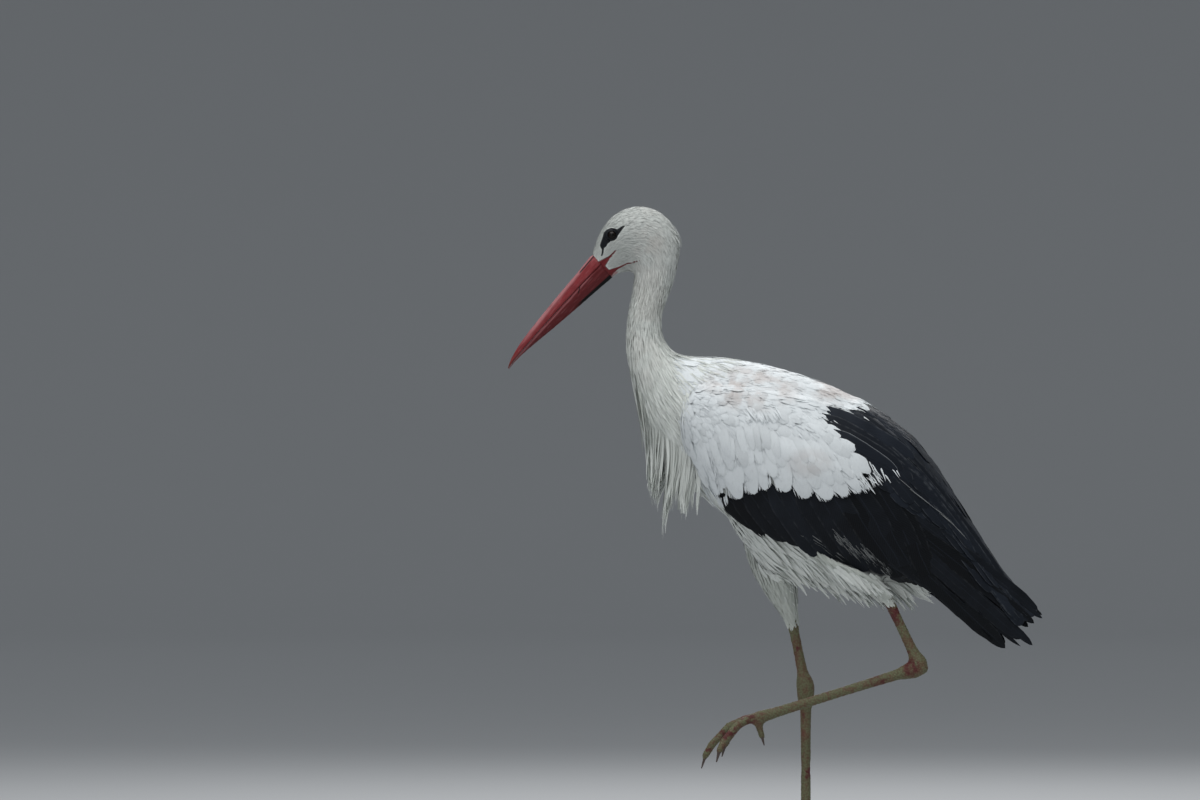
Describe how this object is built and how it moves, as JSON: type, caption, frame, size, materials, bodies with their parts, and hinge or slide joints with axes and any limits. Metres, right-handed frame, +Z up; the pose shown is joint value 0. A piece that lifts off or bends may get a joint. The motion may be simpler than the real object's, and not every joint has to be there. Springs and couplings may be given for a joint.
{
  "type": "white stork",
  "caption": "Life-size still model of a white stork in mid stride, standing on its right leg with the left leg lifted and the bill held down.",
  "frame": {"origin": "on the floor, in the middle of the standing foot's pad, under its toe joint", "axes": "+X ahead of the bird, +Y to its left, +Z up"},
  "size_m": [0.6393, 0.1884, 0.791],
  "materials": {
    "white_body": "matte",
    "white_feathers": "matte",
    "black_feathers": "satin",
    "bill_horn": "satin",
    "leg_skin": "matte",
    "claw_horn": "satin",
    "eye": "gloss"
  },
  "bodies": {
    "root": {"head": "white_body", "eye_left": "eye", "eye_right": "eye", "neck_upper": "white_body", "neck_lower": "white_body", "bill_upper": "bill_horn", "bill_lower": "bill_horn", "wing_coverts_left": "white_feathers", "wing_scapulars_left": "black_feathers", "wing_tertials_left": "black_feathers", "wing_secondaries_left": "black_feathers", "wing_primaries_left": "black_feathers", "wing_coverts_right": "white_feathers", "wing_scapulars_right": "black_feathers", "wing_tertials_right": "black_feathers", "wing_secondaries_right": "black_feathers", "wing_primaries_right": "black_feathers", "thigh_right": "white_body", "thigh_left": "white_body", "trunk": "white_body", "tail": "white_feathers", "breast_plumes": "white_feathers", "shank_right": "leg_skin", "hock_right": "leg_skin", "tarsus_right": "leg_skin", "toe_middle_right": "leg_skin", "claw_middle_right": "claw_horn", "toe_inner_right": "leg_skin", "claw_inner_right": "claw_horn", "toe_outer_right": "leg_skin", "claw_outer_right": "claw_horn", "toe_hind_right": "leg_skin", "claw_hind_right": "claw_horn", "shank_left": "leg_skin", "hock_left": "leg_skin", "tarsus_left": "leg_skin", "toe_middle_left": "leg_skin", "claw_middle_left": "claw_horn", "toe_inner_left": "leg_skin", "claw_inner_left": "claw_horn", "toe_outer_left": "leg_skin", "claw_outer_left": "claw_horn", "toe_hind_left": "leg_skin", "claw_hind_left": "claw_horn"}
  },
  "joints": []
}
